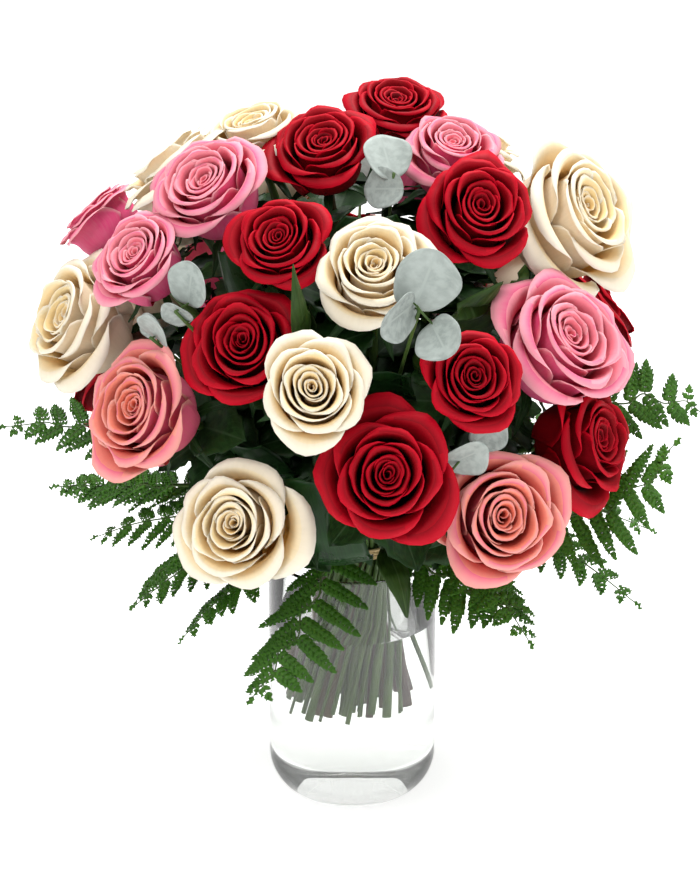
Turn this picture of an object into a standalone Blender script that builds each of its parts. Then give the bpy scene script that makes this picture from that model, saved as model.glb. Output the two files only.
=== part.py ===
"""Roses in a vase: a hand-tied dome of roses with fern, eucalyptus and dark folded leaves, standing in
water in a round-bottomed glass vase. Metres, +Z up, the origin under the middle of the vase's flat foot,
-Y is the front. Every bloom and every leaf is grown onto its own stem, which runs through the tie."""

import cmath
import math

import bmesh
import bpy
from mathutils import Matrix, Vector

MM = 0.001

# Vase and water
VASE_RADIUS = 49 * MM
VASE_HEIGHT = 150 * MM
VASE_WALL = 2.6 * MM
FOOT_CORNER = 25 * MM
FLOOR_THICKNESS = 7 * MM
INNER_CORNER = 20 * MM
WATER_LEVEL = 110 * MM
GAP = 0.3 * MM

# The tie: all stems cross here at the bundle's narrowest, just above the rim
TIE_HEIGHT = 157 * MM
TIE_BAND = 6 * MM
TIE_THICKNESS = 1.6 * MM
BUNDLE_RADIUS = 23.5 * MM
# Below the tie the bundle turns and spreads as it goes down to the cut ends
CUT_HEIGHT = 57 * MM
CUT_STAGGER = 7 * MM
CUT_SPREAD = 1.62
CUT_TURN = math.radians(50)
UPPER_TURN = math.radians(30)

# The middle of the dome: each bloom's and leaf's place is given as seen from here
DOME_CENTRE = Vector((0, 0, 165 * MM))

ROSE_STEM = 2.3 * MM
GREEN_STEM = 1.2 * MM
ROSE_ROOM = 0.5 * MM
GREEN_ROOM = 0.45 * MM
LEAF_THICKNESS = 0.9 * MM
DISC_THICKNESS = 1.2 * MM
BLOOM_DEPTH = 0.78

# Colour, roughness and how much light passes straight through; nothing here is metal
FINISHES = {
    "red": ((0.50, 0.0, 0.02, 1), 0.6, 0),
    "cream": ((0.90, 0.80, 0.58, 1), 0.6, 0),
    "pink": ((0.88, 0.30, 0.42, 1), 0.6, 0),
    "salmon": ((0.88, 0.38, 0.34, 1), 0.6, 0),
    "fern": ((0.06, 0.16, 0.02, 1), 0.5, 0),
    "eucalyptus": ((0.32, 0.42, 0.38, 1), 0.7, 0),
    "aspidistra": ((0.02, 0.07, 0.02, 1), 0.3, 0),
    "leaf": ((0.08, 0.14, 0.03, 1), 0.5, 0),
    "glass": ((0.95, 0.98, 0.98, 1), 0.02, 1),
    "water": ((0.97, 0.99, 0.99, 1), 0.0, 1),
    "raffia": ((0.55, 0.42, 0.22, 1), 0.8, 0),
}

# A bloom's outline along its axis: share of its depth, share of its radius
BLOOM_OUTLINE = (
    (0.0, 0.12), (0.08, 0.28), (0.18, 0.50), (0.34, 0.78), (0.55, 0.95), (0.76, 1.0), (0.92, 0.90), (1.0, 0.60),
)

# Roses: colour, where its crown is (azimuth, polar angle, reach mm), diameter mm, where it faces.
# Azimuth 0 is the front and grows towards +X; polar angle 0 is straight up.
ROSES = [
    ("red", 140.2, 9.3, 250, 46, 10, 22),
    ("red", -22.8, 10.4, 243, 46, -12, 34),
    ("cream", -92, 25.5, 244, 54, -105, 40),
    ("cream", -84.1, 13.4, 249, 45, -60, 20),
    ("pink", -56.3, 23.8, 242, 53, -35, 42),
    ("pink", -100, 39.5, 237, 40, -104, 44),
    ("pink", -58.1, 36.8, 232, 46, -42, 46),
    ("cream", -79.5, 50.5, 216, 60, -60, 62),
    ("salmon", -45.7, 55.8, 200, 59, -40, 66),
    ("red", -20.5, 28.9, 232, 45, -14, 45),
    ("red", -24.5, 42.6, 206, 52, -12, 60),
    ("cream", 5, 32.4, 230, 55, -1, 42),
    ("cream", -6.7, 50.3, 221, 48, 2, 62),
    ("cream", -22.5, 70.5, 178, 61, -16, 76),
    ("red", 6, 60.9, 192, 61, 1, 68),
    ("red", 23.9, 48.3, 208, 43, 9, 60),
    ("red", 41.9, 26.1, 236, 54, 14, 52),
    ("pink", 69.1, 14.3, 242, 47, 14, 28),
    ("cream", 78.5, 34.6, 240, 67, 52, 58),
    ("pink", 54, 46.2, 208, 63, 42, 54),
    ("red", 59, 62.4, 181, 57, 56, 72),
    ("salmon", 30, 69.8, 172, 64, 14, 72),
    ("cream", 122, 21, 238, 52, 120, 26),
    ("pink", 152, 30.5, 232, 60, 152, 34),
    ("cream", -152, 29, 232, 60, -154, 34),
    ("cream", -122, 33, 228, 54, -122, 38),
    ("red", 106, 52, 196, 60, 110, 60),
    ("cream", 133, 55, 206, 63, 132, 60),
    ("salmon", 156, 55, 206, 62, 154, 62),
    ("red", -177, 55, 208, 66, -177, 60),
    ("pink", -149, 55, 206, 62, -149, 62),
    ("cream", -122, 54, 204, 62, -124, 60),
    ("red", -105, 62, 180, 53, -110, 68),
]

# Flat greens: kind, twist about the spine in degrees, then along the middle: azimuth, polar angle,
# reach mm, width mm. A fern's edge is toothed.
BLADES = [
    ("fern", 60, (-76, 62, 120, 6), (-78, 64, 160, 30), (-81, 70, 210, 4)),
    ("fern", 50, (-44, 76, 84, 6), (-50, 82, 118, 30), (-53, 94, 150, 4)),
    ("fern", 50, (-60, 67, 118, 6), (-64, 71, 150, 26), (-67, 74, 184, 4)),
    ("fern", 10, (-6, 82, 64, 6), (-19, 105, 92, 34), (-31, 121, 128, 4)),
    ("fern", 30, (26, 84, 62, 6), (37, 92, 96, 28), (47, 96, 130, 4)),
    ("fern", 60, (64, 76, 112, 6), (63, 76, 156, 40), (70, 68, 202, 4)),
    ("fern", 60, (81, 60, 130, 6), (83, 62, 180, 30), (84, 71, 216, 4)),
    ("fern", 20, (-150, 80, 84, 6), (-152, 80, 140, 36), (-154, 84, 190, 4)),
    ("fern", 20, (132, 80, 84, 6), (134, 80, 140, 36), (136, 84, 190, 4)),
    ("aspidistra", 0, (-4, 76, 72, 8), (-6, 80, 100, 34), (-8, 71, 128, 36), (-10, 60, 156, 22)),
    ("aspidistra", 0, (17, 38, 112, 14), (8, 42, 150, 26), (9, 43, 182, 14)),
    ("aspidistra", 0, (-30, 55, 84, 12), (-29, 55, 122, 22), (-28, 54, 154, 16)),
    ("aspidistra", 20, (-38, 30, 140, 8), (-40, 29, 180, 16), (-42, 28, 212, 6)),
    ("aspidistra", 0, (10, 19, 150, 10), (7, 20, 190, 26), (8, 20, 218, 16)),
    ("leaf", 0, (33, 33, 130, 6), (35, 34, 172, 30), (44, 34, 208, 6)),
    ("leaf", 70, (-14, 38, 170, 6), (-11, 40, 212, 14), (-12, 36, 246, 4)),
    ("leaf", 0, (16, 80, 60, 6), (17, 88, 84, 14), (20, 106, 96, 3)),
    ("leaf", 0, (115, 41, 130, 6), (116, 41, 172, 26), (117, 41, 212, 5)),
]

# Eucalyptus: the twig's tip (azimuth, polar angle, reach mm), then its discs: azimuth, polar angle,
# reach mm, radius mm.
EUCALYPTUS = [
    ((22, 15, 226), (22, 12, 236, 13), (14, 15, 219, 12)),
    ((-37, 42, 208), (-36, 38.5, 229, 12), (-38, 42, 220, 8.5)),
    ((-45, 45, 192), (-44, 44, 212, 10), (-49, 43, 205, 7)),
    ((12, 42, 226), (14, 39, 246, 14), (8, 43, 241, 13), (15, 46, 236, 12)),
    ((20, 60, 160), (23, 58, 176, 12), (30, 54, 176, 11)),
    ((178, 41, 204), (175, 38, 222, 13), (184, 41, 214, 11)),
]


def direction(azimuth, polar):
    a, p = math.radians(azimuth), math.radians(polar)
    return Vector((math.sin(p) * math.sin(a), -math.sin(p) * math.cos(a), math.cos(p)))


def place(azimuth, polar, reach_mm):
    return DOME_CENTRE + reach_mm * MM * direction(azimuth, polar)


def finish(name):
    """The finish's material, made the first time that it is asked for."""
    if name in bpy.data.materials:
        return bpy.data.materials[name]
    colour, roughness, clear = FINISHES[name]
    material = bpy.data.materials.new(name)
    material.use_nodes = True
    material.diffuse_color = colour
    shader = material.node_tree.nodes["Principled BSDF"]
    shader.inputs["Base Color"].default_value = colour
    shader.inputs["Roughness"].default_value = roughness
    shader.inputs["Metallic"].default_value = 0
    shader.inputs["Transmission Weight"].default_value = clear
    return material


def node(name, mesh, material):
    """A finished piece of the object, in its collection and with its material."""
    mesh.materials.clear()
    mesh.materials.append(finish(material))
    mesh.shade_smooth()
    mesh.set_sharp_from_angle(angle=math.radians(40))
    obj = bpy.data.objects.new(name, mesh)
    pieces.objects.link(obj)
    return obj


def baked(obj, name):
    """The object's shape with its modifiers applied, as one clean closed mesh; the object goes."""
    bpy.context.view_layer.update()
    seen = obj.evaluated_get(bpy.context.evaluated_depsgraph_get())
    mesh = bpy.data.meshes.new_from_object(seen)
    mesh.name = name
    bpy.data.objects.remove(obj)
    shape = bmesh.new()
    shape.from_mesh(mesh)
    bmesh.ops.remove_doubles(shape, verts=shape.verts, dist=0.02 * MM)
    bmesh.ops.recalc_face_normals(shape, faces=shape.faces)
    shape.to_mesh(mesh)
    shape.free()
    return mesh


def tube(name, points, radii, sides=8):
    """A bevelled curve through the points, with a radius at each, as a closed mesh."""
    curve = bpy.data.curves.new(name, "CURVE")
    curve.dimensions = "3D"
    curve.bevel_depth = 1.0
    curve.bevel_resolution = (sides - 4) // 2
    curve.use_fill_caps = True
    spline = curve.splines.new("POLY")
    spline.points.add(len(points) - 1)
    for knot, point, radius in zip(spline.points, points, radii):
        knot.co = (*point, 1)
        knot.radius = radius
    obj = bpy.data.objects.new(name, curve)
    bpy.context.scene.collection.objects.link(obj)
    return baked(obj, name)


def joined(name, meshes, operation="UNION"):
    """The first mesh with each of the others joined to it, or cut from it."""
    base = bpy.data.objects.new(name, meshes[0])
    bpy.context.scene.collection.objects.link(base)
    others = []
    for mesh in meshes[1:]:
        other = bpy.data.objects.new(name + "_tool", mesh)
        bpy.context.scene.collection.objects.link(other)
        others.append(other)
        step = base.modifiers.new("join", "BOOLEAN")
        step.operation = operation
        step.solver = "EXACT"
        step.object = other
    mesh = baked(base, name)
    for other in others:
        bpy.data.objects.remove(other)
    return mesh


def thickened(name, sheet, thickness, offset):
    """An open sheet as a solid: offset 0 is to both sides of it and 1 is outwards."""
    obj = bpy.data.objects.new(name, sheet)
    bpy.context.scene.collection.objects.link(obj)
    skin = obj.modifiers.new("thickness", "SOLIDIFY")
    skin.thickness = thickness
    skin.offset = offset
    return baked(obj, name)


def turned(name, outline, steps):
    """An outline of (radius, height) that starts and ends on the axis, turned once round it."""
    mesh = bpy.data.meshes.new(name)
    points = [(r, 0, z) for r, z in outline]
    mesh.from_pydata(points, [(i, i + 1) for i in range(len(points) - 1)], [])
    obj = bpy.data.objects.new(name, mesh)
    bpy.context.scene.collection.objects.link(obj)
    screw = obj.modifiers.new("turn", "SCREW")
    screw.axis = "Z"
    screw.steps = screw.render_steps = steps
    screw.use_merge_vertices = True
    screw.merge_threshold = 0.0001
    return baked(obj, name)


def arc(centre_r, centre_z, radius, start, end, count):
    angles = [math.radians(start + (end - start) * i / count) for i in range(count + 1)]
    return [(centre_r + radius * math.cos(a), centre_z + radius * math.sin(a)) for a in angles]


def hermite(a, a_way, b, b_way, count):
    """Points of a smooth bend from a, leaving along a_way, to b, arriving along b_way."""
    pull = (b - a).length * 0.95
    found = []
    for i in range(1, count + 1):
        t = i / count
        h01 = t * t * (3 - 2 * t)
        h10, h11 = t * (1 - t) ** 2, t * t * (t - 1)
        found.append(a * (1 - h01) + b * h01 + pull * (h10 * a_way + h11 * b_way))
    return found


def smooth(stations, count):
    """Values between three or more stations, by Lagrange's rule on their numbers."""
    last = len(stations) - 1
    found = []
    for step in range(count + 1):
        at = last * step / count
        value = [0.0] * len(stations[0])
        for i, station in enumerate(stations):
            weight = 1.0
            for j in range(last + 1):
                if j != i:
                    weight *= (at - j) / (i - j)
            value = [v + weight * s for v, s in zip(value, station)]
        found.append(value)
    return found


def settle(wanted, sizes):
    """Pushes the stems apart where they are tied, each as near its wanted place as there is room."""
    spots = list(wanted)
    for turn in range(500):
        ease = 0.05 if turn < 350 else 0.0
        spots = [s + ease * (w - s) for s, w in zip(spots, wanted)]
        for i in range(len(spots)):
            for j in range(i):
                apart = spots[i] - spots[j]
                short = sizes[i] + sizes[j] - abs(apart)
                if short > 0:
                    push = apart / max(abs(apart), 1e-9) * short * 0.5
                    spots[i] += push
                    spots[j] -= push
        for i, size in enumerate(sizes):
            most = BUNDLE_RADIUS - size
            if abs(spots[i]) > most:
                spots[i] *= most / abs(spots[i])
    return spots


def wanted_spot(azimuth, polar):
    """Where a stem bound for this direction crosses the tie: equal areas of dome and of bundle."""
    share = math.sqrt(max(0.0, 1 - math.cos(math.radians(polar))))
    return cmath.rect(BUNDLE_RADIUS * min(share, 0.98), math.radians(azimuth - 90) + UPPER_TURN)


def lower_end(spot, index):
    """The cut end under the water, and a point of the same straight stem above the water's surface."""
    cut = CUT_HEIGHT + CUT_STAGGER * ((index * 0.618) % 1.0 - 0.35)
    low = spot * cmath.rect(CUT_SPREAD, -CUT_TURN)
    tied = Vector((spot.real, spot.imag, TIE_HEIGHT))
    foot = Vector((low.real, low.imag, CUT_HEIGHT))
    way = (tied - foot).normalized()
    foot += way * ((cut - CUT_HEIGHT) / way.z)
    return foot, tied, way


def rose(name, row, spot, index):
    colour, azimuth, polar, reach, diameter, face_azimuth, face_polar = row
    radius = diameter * MM / 2
    depth = diameter * MM * BLOOM_DEPTH
    facing = direction(face_azimuth, face_polar)
    base = place(azimuth, polar, reach) - facing * depth
    foot, tied, way = lower_end(spot, index)
    stem = [foot, tied] + hermite(tied, way, base, facing, 6)
    points = stem + [base + facing * depth * s for s, _ in BLOOM_OUTLINE[1:]]
    radii = [ROSE_STEM] * (len(stem) - 1) + [radius * r for _, r in BLOOM_OUTLINE]
    radii[len(stem) - 1] = ROSE_STEM * 1.4
    node(name, tube(name, points, radii), colour)


def blade(name, row, spot, index):
    """A leaf or a frond: a flat strip given thickness, joined to the stem that runs on as its midrib."""
    kind, twist, *stations = row
    toothed = kind == "fern"
    rows = smooth(stations, 8 if toothed else 6)
    spine = [place(*station[:3]) for station in rows]
    left, middle, right = [], [], []
    for i, (point, station) in enumerate(zip(spine, rows)):
        along = (spine[min(i + 1, len(spine) - 1)] - spine[max(i - 1, 0)]).normalized()
        level = Vector((math.cos(math.radians(station[0])), math.sin(math.radians(station[0])), 0))
        across = Matrix.Rotation(math.radians(twist), 3, along) @ level
        across = (across - along * across.dot(along)).normalized()
        half = max(station[3], 2) * MM / 2
        if toothed and i % 2:
            half *= 0.55
        left.append(point - across * half)
        middle.append(point)
        right.append(point + across * half)
    mesh = bpy.data.meshes.new(name)
    count = len(spine)
    faces = []
    for i in range(count - 1):
        faces.append((i, i + 1, count + i + 1, count + i))
        faces.append((count + i, count + i + 1, 2 * count + i + 1, 2 * count + i))
    mesh.from_pydata([tuple(p) for p in left + middle + right], [], faces)
    sheet = thickened(name, mesh, LEAF_THICKNESS, 0)
    foot, tied, way = lower_end(spot, index)
    onward = (spine[1] - spine[0]).normalized()
    stem = [foot, tied] + hermite(tied, way, spine[0], onward, 5)
    rib = spine[1 : count - 2 : 2]
    radii = [GREEN_STEM] * len(stem) + [GREEN_STEM * (0.85 - 0.1 * i) for i in range(len(rib))]
    node(name, joined(name, [tube(name, stem + rib, radii, 6), sheet]), kind)


def eucalyptus(name, row, spot, index):
    """A twig with round flat leaves, each joined to it."""
    tip, *discs = row
    end = place(*tip)
    foot, tied, way = lower_end(spot, index)
    onward = direction(tip[0], tip[1])
    stem = [foot, tied] + hermite(tied, way, end, onward, 6)
    meshes = [tube(name, stem, [GREEN_STEM] * len(stem), 6)]
    for azimuth, polar, reach, radius in discs:
        centre = place(azimuth, polar, reach)
        nearest = min(stem[2:], key=lambda p: (p - centre).length)
        stalk_way = (centre - nearest).normalized()
        facing = direction(azimuth, polar + 35)
        facing = (facing - stalk_way * facing.dot(stalk_way)).normalized()
        turn = facing.to_track_quat("Z", "Y").to_matrix().to_4x4()
        shape = bmesh.new()
        bmesh.ops.create_cone(
            shape, cap_ends=True, segments=10, radius1=radius * MM, radius2=radius * MM,
            depth=DISC_THICKNESS, matrix=Matrix.Translation(centre) @ turn,
        )
        disc = bpy.data.meshes.new(name)
        shape.to_mesh(disc)
        shape.free()
        stalk = tube(name, [nearest, (nearest + centre) / 2, centre], [GREEN_STEM * 0.8] * 3, 6)
        meshes += [stalk, disc]
    node(name, joined(name, meshes), "eucalyptus")


for obj in list(bpy.data.objects):
    bpy.data.objects.remove(obj)
pieces = bpy.data.collections.new("roses_in_a_vase")
bpy.context.scene.collection.children.link(pieces)

# Every stem's place in the bundle
bound_for = [row[1:3] for row in ROSES]
bound_for += [row[2][:2] for row in BLADES]
bound_for += [row[0][:2] for row in EUCALYPTUS]
sizes = [ROSE_STEM + ROSE_ROOM] * len(ROSES)
sizes += [GREEN_STEM + GREEN_ROOM] * (len(BLADES) + len(EUCALYPTUS))
spots = settle([wanted_spot(*way) for way in bound_for], sizes)

# Vase: a flat foot, a round corner, a straight wall and a rounded rim
outer_corner = arc(VASE_RADIUS - FOOT_CORNER, FOOT_CORNER, FOOT_CORNER, -90, 0, 7)
inner_radius = VASE_RADIUS - VASE_WALL
corner_centre = (inner_radius - INNER_CORNER, FLOOR_THICKNESS + INNER_CORNER)
inner_corner = arc(*corner_centre, INNER_CORNER, 0, -90, 6)
rim = arc(VASE_RADIUS - VASE_WALL / 2, VASE_HEIGHT - VASE_WALL / 2, VASE_WALL / 2, 0, 180, 4)
vase_outline = [(0, 0), *outer_corner, *rim, *inner_corner, (0, FLOOR_THICKNESS)]
node("vase", turned("vase", vase_outline, 40), "glass")

# Water: fills the vase with a hair of clearance, with a pocket for every stem
water_corner = arc(*corner_centre, INNER_CORNER - GAP, -90, 0, 6)
water_rim = (inner_radius - GAP, WATER_LEVEL)
water_outline = [(0, FLOOR_THICKNESS + GAP), *water_corner, water_rim, (0, WATER_LEVEL)]
pockets = []
for index, (spot, size) in enumerate(zip(spots, sizes)):
    is_rose = index < len(ROSES)
    radius = (ROSE_STEM if is_rose else GREEN_STEM) + GAP
    foot, tied, way = lower_end(spot, index)
    top = foot + way * ((WATER_LEVEL + 5 * MM - foot.z) / way.z)
    pockets.append(tube("pocket", [foot - way * GAP, top], [radius * 1.04] * 2, 8 if is_rose else 6))
node("water", joined("water", [turned("water", water_outline, 40), *pockets], "DIFFERENCE"), "water")

# Tie: a band round the bundle, an open cylinder given thickness outwards
shape = bmesh.new()
bmesh.ops.create_cone(
    shape, cap_ends=False, segments=32, radius1=BUNDLE_RADIUS + GAP * 2, radius2=BUNDLE_RADIUS + GAP * 2,
    depth=TIE_BAND, matrix=Matrix.Translation((0, 0, TIE_HEIGHT)),
)
band = bpy.data.meshes.new("tie")
shape.to_mesh(band)
shape.free()
node("tie", thickened("tie", band, TIE_THICKNESS, 1), "raffia")

for index, row in enumerate(ROSES):
    rose(f"rose_{row[0]}_{index + 1}", row, spots[index], index)
for number, row in enumerate(BLADES):
    index = len(ROSES) + number
    blade(f"{row[0]}_{number + 1}", row, spots[index], index)
for number, row in enumerate(EUCALYPTUS):
    index = len(ROSES) + len(BLADES) + number
    eucalyptus(f"eucalyptus_{number + 1}", row, spots[index], index)
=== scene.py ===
# %% [markdown]
# Roses in a vase.
# A dome of roses, fern, eucalyptus and dark folded leaves is tied at one waist and stands in water in
# a clear glass vase. This lesson loads the plain solids of that arrangement and grows each one into
# the real thing, petal by petal. The solids say where each piece is and how big it is, so positions
# are measured on them and not typed. Only the lowest fronds, which have no solids, are laid one by one.

# %% Load the solids
import math

import bmesh
import bpy
import numpy as np
from mathutils import Matrix, Vector


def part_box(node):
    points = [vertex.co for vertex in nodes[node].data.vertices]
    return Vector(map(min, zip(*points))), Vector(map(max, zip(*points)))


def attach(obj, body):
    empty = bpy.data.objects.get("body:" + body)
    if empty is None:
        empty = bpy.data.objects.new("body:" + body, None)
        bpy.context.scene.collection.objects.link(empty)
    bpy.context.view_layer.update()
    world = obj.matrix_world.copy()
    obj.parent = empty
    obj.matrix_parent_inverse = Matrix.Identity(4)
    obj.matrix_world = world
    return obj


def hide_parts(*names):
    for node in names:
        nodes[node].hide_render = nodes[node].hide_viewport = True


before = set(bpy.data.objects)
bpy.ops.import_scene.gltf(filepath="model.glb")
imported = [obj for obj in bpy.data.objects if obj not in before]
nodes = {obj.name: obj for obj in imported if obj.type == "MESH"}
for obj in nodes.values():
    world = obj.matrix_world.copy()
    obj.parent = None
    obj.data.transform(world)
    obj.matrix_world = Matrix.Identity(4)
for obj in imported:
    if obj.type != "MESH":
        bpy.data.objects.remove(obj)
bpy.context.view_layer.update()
MM = 0.001
UP = Vector((0, 0, 1))
DOME_ABOVE_TIE = 8 * MM
tie_low, tie_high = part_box("tie")
tie_height = (tie_low.z + tie_high.z) / 2
dome_centre = Vector((0, 0, tie_height + DOME_ABOVE_TIE))
water_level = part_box("water")[1].z
print(len(nodes), "solids, tied at", round(tie_height, 4), "m, water up to", round(water_level, 4), "m")

# %% [markdown]
# The camera looks down on the arrangement from a little above, from far enough away that the vase's
# sides stay parallel. A long lens gives that. The floor and the backdrop are one white surface, and
# three soft lamps with a bright, even surround give the shadowless light of a flower shop's window.

# %% Camera
def in_scene(name, data):
    obj = bpy.data.objects.new(name, data)
    bpy.context.scene.collection.objects.link(obj)
    return obj


def aim(obj, target):
    obj.rotation_euler = (Vector(target) - obj.location).to_track_quat("-Z", "Y").to_euler()


VIEW_DOWN = math.radians(19.5)
VIEW_DISTANCE = 1.5
VIEW_TARGET = Vector((-0.0013, 0, 0.220))
lens = bpy.data.cameras.new("camera")
lens.lens = 108.3
lens.sensor_width = 36
camera = in_scene("camera", lens)
camera.location = VIEW_TARGET - VIEW_DISTANCE * Vector((0, math.cos(VIEW_DOWN), -math.sin(VIEW_DOWN)))
aim(camera, VIEW_TARGET)
bpy.context.scene.camera = camera
print("camera at", tuple(round(c, 3) for c in camera.location))

# %% Lamps
LAMP_TARGET = (0, 0, 0.25)


def lamp(name, place, size, watts):
    light = bpy.data.lights.new(name, "AREA")
    light.shape = "DISK"
    light.size = size
    light.energy = watts
    obj = in_scene(name, light)
    obj.location = place
    aim(obj, LAMP_TARGET)


lamp("key", (-0.8, -1.2, 1.6), 0.8, 15)
lamp("fill", (1.3, -0.6, 1.0), 1.1, 8)
lamp("top", (0.2, 0.5, 1.7), 0.9, 32)
world = bpy.data.worlds.new("studio")
world.use_nodes = True
surround = world.node_tree.nodes["Background"].inputs
surround["Color"].default_value = (1, 1, 1, 1)
surround["Strength"].default_value = 0.70
bpy.context.scene.world = world
bpy.context.scene.view_settings.view_transform = "Standard"
print("three lamps and a white surround")

# %% [markdown]
# Materials are small node trees. These helpers keep each one short: some add a node with its values,
# some turn a pattern into a share or a colour, and one starts a material and hands back its shader.

# %% Node helpers
def add(tree, kind, links=(), **values):
    """A node with its settings and values; links pairs an input's name or number with another
    node's socket or a plain value."""
    made = tree.nodes.new(kind)
    for key, value in values.items():
        if hasattr(made, key):
            setattr(made, key, value)
        else:
            made.inputs[key.replace("_", " ")].default_value = value
    for name, source in links:
        if isinstance(source, bpy.types.NodeSocket):
            tree.links.new(source, made.inputs[name])
        else:
            made.inputs[name].default_value = source
    return made


def maths(tree, operation, *values):
    return add(tree, "ShaderNodeMath", enumerate(values), operation=operation).outputs[0]


def noise(tree, vector, scale, detail=2.0, stretch=None):
    """A noise pattern; stretch scales its coordinates differently along each axis."""
    if stretch:
        vector = add(tree, "ShaderNodeMapping", [("Vector", vector)], Scale=stretch).outputs["Vector"]
    return add(tree, "ShaderNodeTexNoise", [("Vector", vector)], Scale=scale, Detail=detail).outputs["Fac"]


def attribute(tree, name):
    return add(tree, "ShaderNodeAttribute", attribute_name=name).outputs["Fac"]


def mapped(tree, value, low, high, to_low=0.0, to_high=1.0):
    return add(tree, "ShaderNodeMapRange", [("Value", value)], From_Min=low, From_Max=high,
               To_Min=to_low, To_Max=to_high).outputs["Result"]


def ramp(tree, socket, stops):
    made = add(tree, "ShaderNodeValToRGB", [("Fac", socket)])
    elements = made.color_ramp.elements
    while len(elements) < len(stops):
        elements.new(0.5)
    for element, (where, colour) in zip(elements, stops):
        element.position = where
        element.color = (*colour, 1)
    return made.outputs["Color"]


def patches(tree, value, low, high, most=1.0):
    """A share that rises from none to most between two values of a pattern."""
    return ramp(tree, value, [(low, (0, 0, 0)), (high, (most, most, most))])


def blend(tree, share, first, second):
    """Mixes two colours, each a socket or a plain colour."""
    made = tree.nodes.new("ShaderNodeMix")
    made.data_type = "RGBA"
    for socket, value in ((0, share), (6, first), (7, second)):
        if isinstance(value, bpy.types.NodeSocket):
            tree.links.new(value, made.inputs[socket])
        else:
            made.inputs[socket].default_value = (*value, 1) if isinstance(value, tuple) else value
    return made.outputs[2]


def begin(name, **values):
    """A new material: its node tree, its Principled shader and its Object coordinates."""
    made = bpy.data.materials.new(name)
    made.use_nodes = True
    tree = made.node_tree
    shader = tree.nodes["Principled BSDF"]
    for key, value in values.items():
        shader.inputs[key.replace("_", " ")].default_value = value
    where = tree.nodes.new("ShaderNodeTexCoord").outputs["Object"]
    return made, tree, shader, where


def bump(tree, shader, height, strength, depth):
    made = add(tree, "ShaderNodeBump", [("Height", height)], Strength=strength, Distance=depth)
    tree.links.new(made.outputs["Normal"], shader.inputs["Normal"])


def mix_in(tree, shader, other, share):
    both = add(tree, "ShaderNodeMixShader",
               [("Fac", share), (1, shader.outputs["BSDF"]), (2, other.outputs["BSDF"])])
    tree.links.new(both.outputs["Shader"], tree.nodes["Material Output"].inputs["Surface"])


def let_light_through(tree, shader, colour, share):
    """Thin living tissue glows when it is lit from behind: part of the light passes straight through."""
    mix_in(tree, shader, add(tree, "ShaderNodeBsdfTranslucent", [("Color", colour)]), share)


print("helpers ready")

# %% Floor
FLOOR_SIZE, FLOOR_BEHIND = 400, 20


def select_only(*chosen):
    """Operators act on all that is selected, so everything else is deselected first."""
    bpy.ops.object.select_all(action="DESELECT")
    for obj in chosen:
        obj.select_set(True)
    if chosen:
        bpy.context.view_layer.objects.active = chosen[0]


white, tree, shader, where = begin("white_floor", Roughness=0.6, Emission_Color=(1, 1, 1, 1),
                                   Emission_Strength=0.35)
tree.links.new(ramp(tree, noise(tree, where, 3.0), [(0.3, (0.93, 0.93, 0.93)), (0.7, (0.95, 0.95, 0.95))]),
               shader.inputs["Base Color"])
select_only()
bpy.ops.mesh.primitive_plane_add(size=FLOOR_SIZE, location=(0, FLOOR_BEHIND, 0))
floor = bpy.context.object
floor.name = "floor"
floor.data.materials.append(white)
print("floor", tuple(floor.dimensions))

# %% [markdown]
# Each solid is measured by slicing it. Above the tie the slices are spheres round the middle of the
# dome, because every stem and leaf grows outwards from there; below the tie they are level planes.
# A slice's middle is a point of the stem, its widest way is the way that the leaf lies, and its
# extent is the leaf's width there.

# %% Slice a solid
BUNDLE_RADIUS = 45 * MM
IN_VASE_RADIUS = 47 * MM


def mesh_arrays(obj):
    count = len(obj.data.vertices)
    points = np.empty(count * 3)
    obj.data.vertices.foreach_get("co", points)
    obj.data.calc_loop_triangles()
    corners = np.empty(len(obj.data.loop_triangles) * 3, dtype=np.int64)
    obj.data.loop_triangles.foreach_get("vertices", corners)
    return points.reshape(-1, 3), corners.reshape(-1, 3)


def face_arrays(points, faces):
    """Each face's unit normal and its area."""
    normal = np.cross(points[faces[:, 1]] - points[faces[:, 0]], points[faces[:, 2]] - points[faces[:, 0]])
    double = np.linalg.norm(normal, axis=1)
    return normal / np.maximum(double, 1e-12)[:, None], double / 2


def reach_of(points):
    return np.linalg.norm(points - np.array(dome_centre), axis=1)


def height_of(points):
    return points[:, 2]


def off_axis(points):
    return np.hypot(points[:, 0], points[:, 1])


def cut(obj, measure, level):
    """The middle, the widest way and the half-width of the solid's slice at this level, or None.
    A sphere leaves out what hangs in the vase, and a plane what hangs down outside the bundle."""
    points, faces = mesh_arrays(obj)
    value = measure(points)
    edges = np.vstack([faces[:, [0, 1]], faces[:, [1, 2]], faces[:, [2, 0]]])
    a, b = edges[:, 0], edges[:, 1]
    if measure is reach_of:
        counted = (points[:, 2] >= tie_low.z) | (off_axis(points) >= IN_VASE_RADIUS)
    else:
        counted = off_axis(points) < BUNDLE_RADIUS
    crossed = ((value[a] - level) * (value[b] - level) < 0) & counted[a] & counted[b]
    if crossed.sum() < 3:
        return None
    a, b = a[crossed], b[crossed]
    share = ((level - value[a]) / (value[b] - value[a]))[:, None]
    found = points[a] + share * (points[b] - points[a])
    around = found - found.mean(0)
    way = np.linalg.svd(around, full_matrices=False)[2][0]
    along = around @ way
    middle = found.mean(0) + way * (along.max() + along.min()) / 2
    return Vector(middle), Vector(way), (along.max() - along.min()) / 2


def spine(obj, last, step, first=32):
    """Slices of a solid from one reach to another, in millimetres."""
    found = [cut(obj, reach_of, reach * MM) for reach in np.arange(first, last, step)]
    return [one for one in found if one]


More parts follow.
